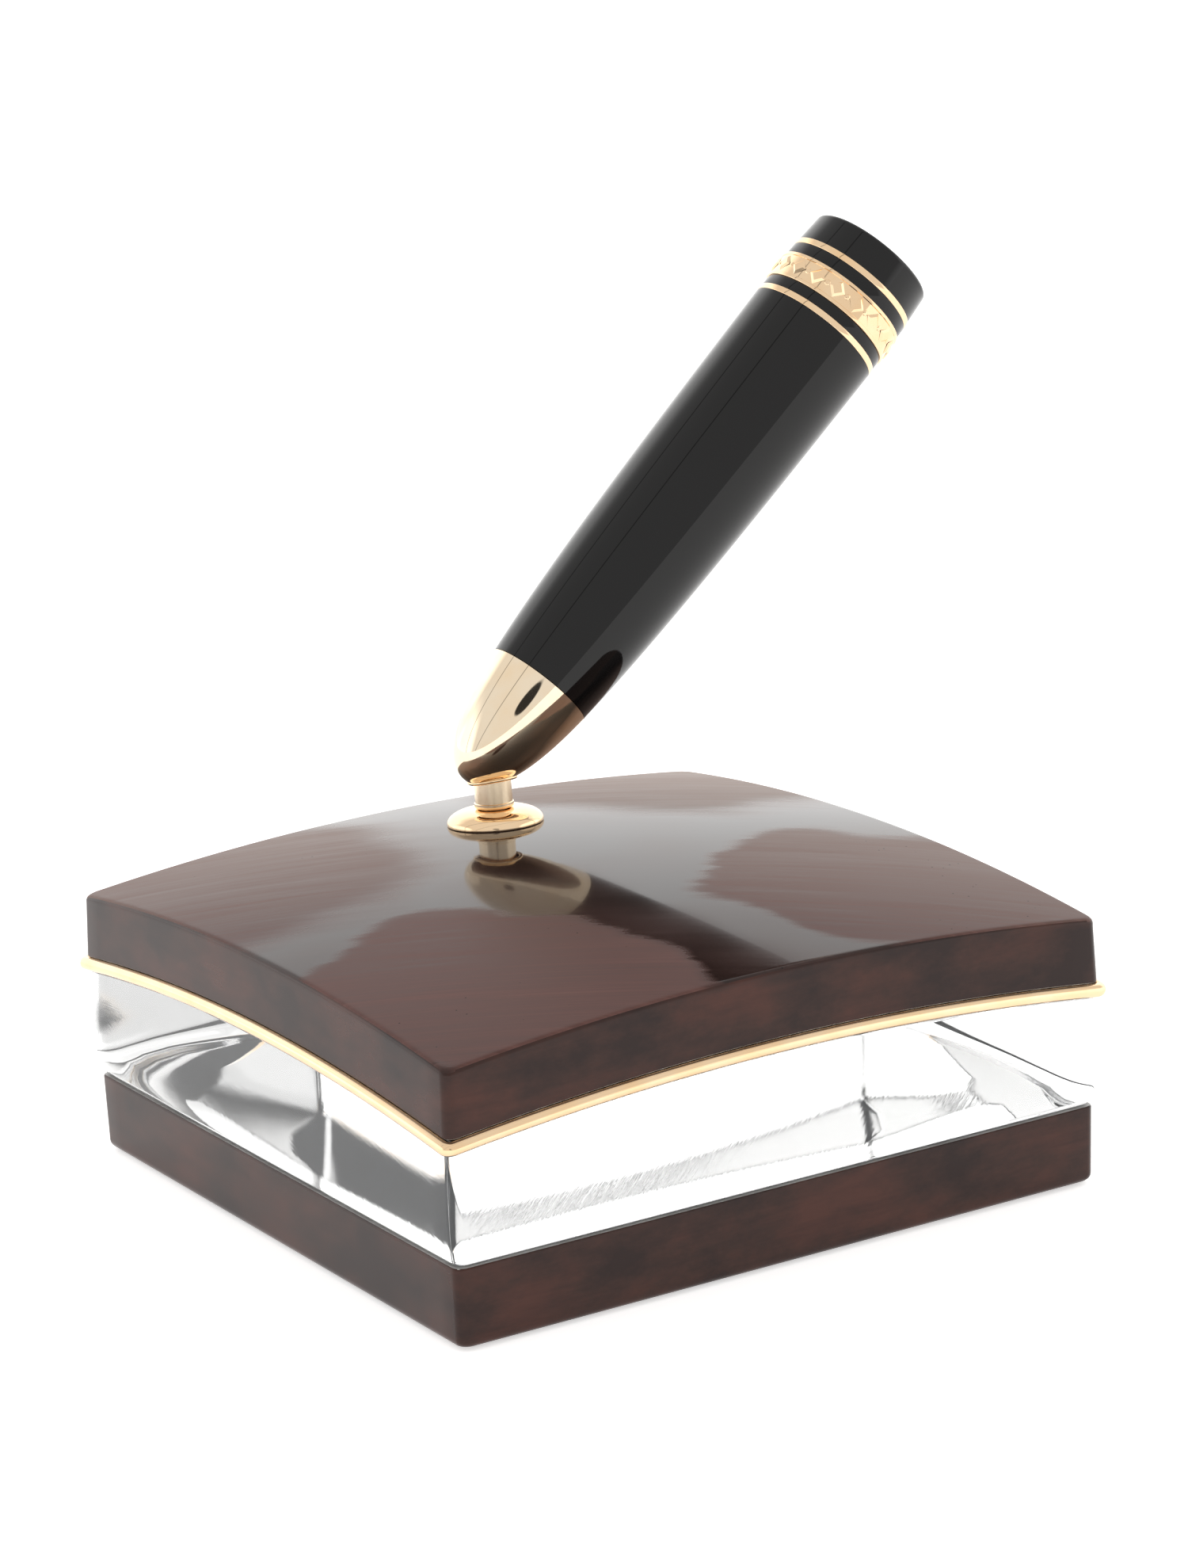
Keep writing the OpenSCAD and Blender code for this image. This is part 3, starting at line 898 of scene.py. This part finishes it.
class BuildFlangeAndStem(bpy.types.Operator):
    """Turns the domed flange, and the stem with its neck and ball"""

    bl_idname = "pen_stand.stem"
    bl_label = "Flange and stem"

    def execute(self, context):
        place = mount_place()
        rim = context.scene.pen_stand_block.flange_radius / MM
        rise = context.scene.pen_stand_block.flange_height / MM
        bore, edge, sunk = 2.15, 0.15, 0.06
        outline = [(bore, -sunk), *arc((rim - edge, edge - sunk), edge, -90, 0, 4)]
        outline += bezier((rim, 0.2), (rim, 1.15), (5.0, rise), (2.9, rise), 24)
        outline += [(bore, rise)]
        flange = turned("flange_turned", outline, place, gold_plate())
        settle(flange, "block", "gold_plate", "flange")
        foot = rise + 0.05
        ball_centre = Vector(JOINTS["holder_tilt"]["pos_m"])
        ball_height = (ball_centre - Vector(JOINTS["swivel"]["pos_m"])).length / MM
        neck, ball, spindle, spindle_end = 2.55, 3.9, 2.0, 9.9
        chamfer, collar = 0.2, 0.15
        outline = [(0, -spindle_end), (spindle - chamfer, -spindle_end), (spindle, chamfer - spindle_end)]
        outline += [(spindle, foot), (neck + collar - 0.5, foot)]
        outline += arc((neck + collar - 0.5, foot + 0.5), 0.5, -80, 0, 6)
        outline += [(neck + collar, foot + 0.75)]
        outline += [(neck, foot + rise) for rise in (0.85, 1.0, 2.6)]
        meet = math.degrees(math.asin(neck / ball))
        outline += arc((0, ball_height), ball, meet - 90, 89, 20)
        outline += [(0, ball_height + ball)]
        stem = turned("stem_turned", outline, place, satin_plate(), closed=False)
        settle(stem, "stem", "satin_gold", "stem")
        return {"FINISHED"}


class BuildCone(bpy.types.Operator):
    """Spins the gold cone, cuts its slot and rolls the slot's lip"""

    bl_idname = "pen_stand.cone"
    bl_label = "Cone"

    def execute(self, context):
        s = context.scene.pen_stand_holder
        place = holder_place()
        tip, joint, joint_r = s.tip / MM, s.joint / MM, s.joint_radius / MM
        skin = bezier((0, -tip), (4.7, -tip), (6.7, 2.3), (joint_r, joint - 0.05), 40)
        spigot, socket, spigot_end = 6.1, 4.0, 7.4
        outline = skin + [(joint_r - 0.05, joint)]
        outline += [(spigot, joint), (spigot, spigot_end), (socket, spigot_end), (socket, 0.4)]
        outline += arc((0, 0), socket, 0, -89, 14) + [(0, -socket)]
        cone = turned("cone_spun", outline, place, champagne_plate(), steps=160, closed=False)
        slot_place = place @ self.neck_turn(place)
        half_length, half_width = s.slot_half_length / MM, s.slot_half_width / MM
        outline = self.slot_outline(half_length, half_width)
        count = len(outline)
        vertices = [slot_place @ (Vector((x, y, z)) * MM) for z in (0.3, 12) for x, y in outline]
        faces = [list(range(count)), list(range(count, 2 * count))]
        faces += [[i, (i + 1) % count, count + (i + 1) % count, count + i] for i in range(count)]
        cut(cone, new_piece("slot_cutter", vertices, faces, champagne_plate()))
        settle(cone, "holder", "gold_plate", "cone")
        lip_radius = s.lip_radius / MM
        path = [self.on_skin(place.inverted() @ slot_place, x, y, skin) for x, y in outline]
        path = [place @ (spot * MM) for spot in path]
        lip = bent_wire("slot_lip_rolled", path, lip_radius, gold_plate(), 12)
        settle(lip, "holder", "gold_plate")
        return {"FINISHED"}

    def neck_turn(self, place):
        """Turns the holder's Z to the direction that the neck leaves in."""
        neck = -Vector(JOINTS["swivel"]["axis"]).normalized()
        local = place.to_3x3().inverted() @ neck
        return Matrix.Rotation(math.atan2(local.x, local.z), 4, "Y")

    def slot_outline(self, half_length, half_width, steps=14):
        """A straight slot with round ends."""
        reach = half_length - half_width
        points = []
        for side in (1, -1):
            for i in range(steps + 1):
                angle = math.pi * (i / steps - side / 2)
                points.append((side * reach + half_width * math.cos(angle), half_width * math.sin(angle)))
        return points

    def on_skin(self, turn, x, y, skin):
        """Where a line down the slot's wall leaves the cone's skin."""
        low, high = 0.0, 12.0
        for _ in range(30):
            middle = (low + high) / 2
            spot = turn @ (Vector((x, y, middle)) * MM) / MM
            if math.hypot(spot.x, spot.y) < self.skin_radius(skin, spot.z):
                low = middle
            else:
                high = middle
        return turn @ (Vector((x, y, low)) * MM) / MM

    def skin_radius(self, skin, height):
        """The cone's radius at a height."""
        for (r0, z0), (r1, z1) in zip(skin, skin[1:]):
            if z0 <= height <= z1:
                return r0 + (r1 - r0) * (height - z0) / max(z1 - z0, 1e-9)
        return 0.0 if height < skin[0][1] else skin[-1][0]


class BuildTube(bpy.types.Operator):
    """Turns the black tube, its liner, the black rings and the mouth"""

    bl_idname = "pen_stand.tube"
    bl_label = "Tube and mouth"

    def execute(self, context):
        s = context.scene.pen_stand_holder
        place = holder_place()
        joint, joint_r = s.joint / MM, s.joint_radius / MM
        ring, barrel = s.first_ring / MM, s.barrel_radius / MM
        bore, mouth = s.pen_radius / MM, s.mouth / MM
        sleeve_r, seat_r, chamber_r, passage_r = s.ring_bore / MM - 0.03, 7.72, 6.2, 4.6
        seat_end, sleeve_end = 24, 82.85
        spigot_r, spigot_end, joint_face = 6.08, 7.5, joint + 0.02
        outline = [(passage_r, spigot_end), (spigot_r, spigot_end), (spigot_r, joint_face)]
        outline += [(joint_r - 0.1, joint_face)]
        outline += bezier((joint_r, joint + 0.1), (9.2, 27), (9.46, 53), (barrel, ring), 48)
        outline += [(sleeve_r, ring), (sleeve_r, sleeve_end), (seat_r, sleeve_end), (seat_r, seat_end)]
        outline += [(chamber_r, seat_end), (chamber_r, 13), (passage_r, 13)]
        tube = turned("tube_turned", outline, place, black_resin(), steps=160)
        settle(tube, "holder", "black_resin", "tube")
        liner_r, liner_end = bore + 0.68, mouth - 0.5
        outline = [(bore, seat_end + 0.05), (liner_r, seat_end + 0.05), (liner_r, liner_end)]
        outline += [(bore + 0.45, liner_end), (bore, liner_end - 0.45)]
        dark = plain_solid("moulded_dark_nylon", "#2b2624", 0, 0.35, 0.5, 0.6)
        liner = turned("liner_sleeve", outline, place, dark, steps=96)
        settle(liner, "holder", "liner_plastic", "liner")
        places = ring_places(s)
        for node, order, step_in in (("spacer_lower", 1, 0.07), ("spacer_upper", 3, 0.1)):
            outline = box_ring(s.ring_bore / MM, barrel - step_in, *places[order : order + 2], 0.05)
            piece = turned(node + "_turned", outline, place, black_resin(), steps=160)
            settle(piece, "holder", "black_resin", node)
        end_r, edge, inner_edge, step_end = 9.15, 0.6, 0.35, 82.9
        mouth_r = bore + 0.7
        outline = [(s.ring_bore / MM, places[-1]), (barrel - 0.2, places[-1])]
        outline += arc((end_r - edge, mouth - edge), edge, 0, 90, 8)
        outline += arc((mouth_r + inner_edge, mouth - inner_edge), inner_edge, 90, 180, 5)
        outline += [(mouth_r, mouth - 0.6), (mouth_r, step_end), (s.ring_bore / MM, step_end)]
        lip = turned("mouth_turned", outline, place, black_resin(), steps=160)
        settle(lip, "holder", "black_resin", "lip_ring")
        return {"FINISHED"}


class BuildRings(bpy.types.Operator):
    """Turns the two thin gold rings and the engraved band"""

    bl_idname = "pen_stand.rings"
    bl_label = "Gold rings and band"

    def execute(self, context):
        s = context.scene.pen_stand_holder
        place = holder_place()
        barrel = s.barrel_radius / MM
        places, bore = ring_places(s), s.ring_bore / MM
        for node, order, proud in (("ring_lower", 0, 0.03), ("ring_upper", 4, -0.08)):
            outline = box_ring(bore, barrel + proud, *places[order : order + 2], 0.1)
            piece = turned(node + "_turned", outline, place, gold_plate(), steps=160)
            settle(piece, "holder", "gold_plate", node)
        low, high = places[2:4]
        rim, slope, edge = 0.45, 0.08, 0.1
        outer, floor_r = barrel + 0.15, barrel + 0.02
        outline = [(bore, low)]
        outline += arc((outer - edge, low + edge), edge, -90, 0, 3)
        outline += [(outer, low + rim), (floor_r, low + rim + slope)]
        outline += [(floor_r, high - rim - slope), (outer, high - rim)]
        outline += arc((outer - edge, high - edge), edge, 0, 90, 3)
        outline += [(bore, high)]
        band = turned("band_engraved", outline, Matrix(), gold_plate(), steps=160)
        relief = {
            "Motifs": s.motif_count,
            "Radius": floor_r * MM,
            "Height": (low + high) / 2 * MM,
            "Relief": 0.12 * MM,
            "Finish": gold_plate(),
        }
        grow(band, relief_tree(), relief)
        band.data.transform(place)
        settle(band, "holder", "gold_plate", "engraved_band")
        return {"FINISHED"}


class FinishInnerPieces(bpy.types.Operator):
    """Gives the fittings inside the stand their finishes"""

    bl_idname = "pen_stand.inner"
    bl_label = "Inner pieces"

    def execute(self, context):
        brass = plain_solid("turned_brass", "#d8b56a", 1, 0.2, 0.35, 0.4)
        zinc = plain_solid("zinc_plated_steel", "#b9bcc0", 1, 0.25, 0.4, 0.5)
        nylon = plain_solid("moulded_white_nylon", "#e9e5da", 0, 0.4, 0.55, 0.6)
        finishes = {
            "bearing_bush": brass,
            "clamp_nut": brass,
            "adjusting_plug": brass,
            "clamp_washer": zinc,
            "friction_washer": zinc,
            "lock_nut": zinc,
            "disc_springs": zinc,
            "ball_seat": nylon,
        }
        for node, material in finishes.items():
            for slot in frame["nodes"][node].material_slots:
                slot.material = material
        return {"FINISHED"}


# Square to each of these lies a plane through the stand that holds one of the tent's two seams
TENT_SEAMS = ((0.283, 0.923, -0.259), (-0.186, 0.953, 0.241))
LENS_OPENING_ASPECT = 0.55  # height of the tent's opening for the lens, over its width


class BuildStage(bpy.types.Operator):
    """Sets the pale floor, the soft light and the camera"""

    bl_idname = "pen_stand.stage"
    bl_label = "Stage"

    def execute(self, context):
        f = context.scene.pen_stand_finish
        material, _, shader, _ = begin("matte_pale_floor")
        plain = {"Base Color": rgba(f.floor), "Roughness": 0.9, "Specular IOR Level": 0.1}
        feed(shader, {**plain, "Emission Color": rgba((1, 1, 1)), "Emission Strength": 0.55})
        reach = 6.0
        corners = [(-reach, -reach, 0), (reach, -reach, 0), (reach, reach, 0), (-reach, reach, 0)]
        mesh = bpy.data.meshes.new("floor")
        mesh.from_pydata(corners, [], [(0, 1, 2, 3)])
        mesh.materials.append(material)
        floor = bpy.data.objects.new("floor", mesh)
        context.collection.objects.link(floor)
        floor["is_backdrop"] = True
        self.place_camera(context)
        self.light_sky(context)
        context.scene.view_settings.view_transform = "Standard"
        return {"FINISHED"}

    def light_sky(self, context):
        """A pale tent, brighter behind the stand, with two seams and an opening for the lens."""
        world = bpy.data.worlds.new("pale_tent")
        context.scene.world = world
        world.use_nodes = True
        tree = world.node_tree
        way = add(tree, "ShaderNodeTexCoord", out="Generated")

        def along(direction):
            return add(tree, "ShaderNodeVectorMath", [way, direction], out="Value", operation="DOT_PRODUCT")

        def product(a, b):
            return add(tree, "ShaderNodeMath", [a, b], operation="MULTIPLY")

        # Fronts of 1 in the backdrop's and the side panels' directions, faded out with height
        height = along((0, 0, 1))
        behind = add(tree, "ShaderNodeMapRange", [along((0.52, 0.854, 0)), 0.3, 0.55, 0, 0.8])
        behind = product(behind, add(tree, "ShaderNodeMapRange", [height, 0.5, 0.72, 1, 0]))
        across = add(tree, "ShaderNodeMath", [along((0.857, -0.515, 0))], operation="ABSOLUTE")
        sides = add(tree, "ShaderNodeMapRange", [across, 0.82, 0.9, 0, 0.8])
        sides = product(sides, add(tree, "ShaderNodeMapRange", [height, 0.4, 0.55, 1, 0]))
        glow = add(tree, "ShaderNodeMath", [behind, sides], operation="ADD")
        glow = add(tree, "ShaderNodeMath", [glow, 0.88], operation="ADD")
        for seam in TENT_SEAMS:
            distance = add(tree, "ShaderNodeMath", [along(seam)], operation="ABSOLUTE")
            glow = product(glow, add(tree, "ShaderNodeMapRange", [distance, 0.006, 0.02, 0.35, 1]))
        lens = Vector(context.scene.camera.location) - Vector(JOINTS["holder_tilt"]["pos_m"])
        tall = Vector(MOUNTS["pen_mouth"]["axis"])
        wide = lens.cross(tall).normalized()
        narrowed = tuple(wide * (LENS_OPENING_ASPECT - 1))
        seen = add(tree, "ShaderNodeVectorMath", [narrowed, along(wide), way], operation="MULTIPLY_ADD")
        lens = tuple(lens.normalized())
        gap = add(tree, "ShaderNodeVectorMath", [seen, lens], out="Value", operation="DISTANCE")
        glow = product(glow, add(tree, "ShaderNodeMapRange", [gap, 0.085, 0.1, 0.04, 1]))
        feed(tree.nodes["Background"], {"Strength": glow, "Color": (1, 0.995, 0.985, 1)})

    def place_camera(self, context):
        """A long lens at the front left, a little above the stand and rolled a little."""
        azimuth, elevation, roll = (math.radians(a) for a in (-31.251, 15.094, -2.647))
        distance, aim_height = 634.03 * MM, 26.31 * MM
        side_shift, up_shift = 1.766 * MM, 25.087 * MM
        level = Vector((math.cos(azimuth), math.sin(azimuth), 0))
        ahead = Vector((-math.sin(azimuth), math.cos(azimuth), 0))
        forward = math.cos(elevation) * ahead - Vector((0, 0, math.sin(elevation)))
        upright = level.cross(forward)
        right = math.cos(roll) * level + math.sin(roll) * upright
        up = -math.sin(roll) * level + math.cos(roll) * upright
        spot = Vector((0, 0, aim_height)) - distance * forward + side_shift * right + up_shift * up
        camera = bpy.data.objects.new("camera", bpy.data.cameras.new("camera"))
        context.collection.objects.link(camera)
        turn = Matrix((right, up, -forward)).transposed().to_4x4()
        camera.matrix_world = Matrix.Translation(spot) @ turn
        camera.data.sensor_width = 36
        camera.data.lens = 111.2
        camera.data.clip_start, camera.data.clip_end = 0.01, 100
        context.scene.camera = camera


BUILD_ORDER = (
    BuildBaseSlab,
    BuildCrystal,
    BuildTopSlab,
    BuildBead,
    BuildFlangeAndStem,
    BuildCone,
    BuildTube,
    BuildRings,
    FinishInnerPieces,
    BuildStage,
)


class PenStandPanel(bpy.types.Panel):
    """Lists the steps that build the pen stand"""

    bl_idname = "VIEW3D_PT_pen_stand"
    bl_label = "Pen stand"
    bl_space_type = "VIEW_3D"
    bl_region_type = "UI"
    bl_category = "Pen stand"

    def draw(self, context):
        for step in BUILD_ORDER:
            self.layout.operator(step.bl_idname)
        for group in GROUPS:
            settings = getattr(context.scene, group)
            for name in settings.bl_rna.properties.keys():
                if name not in ("rna_type", "name"):
                    self.layout.prop(settings, name)


CLASSES = (*GROUPS.values(), *BUILD_ORDER, PenStandPanel)


def register():
    for cls in CLASSES:
        bpy.utils.register_class(cls)
    for name, group in GROUPS.items():
        setattr(bpy.types.Scene, name, PointerProperty(type=group))


def unregister():
    for name in GROUPS:
        delattr(bpy.types.Scene, name)
    for cls in reversed(CLASSES):
        bpy.utils.unregister_class(cls)


def main():
    register()
    for step in BUILD_ORDER:
        space, name = step.bl_idname.split(".")
        getattr(getattr(bpy.ops, space), name)()
    boxes = {"cad": CAD_BOX, "visual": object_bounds()}
    boxes = {name: [list(corner) for corner in box] for name, box in boxes.items()}


if __name__ == "__main__":
    main()
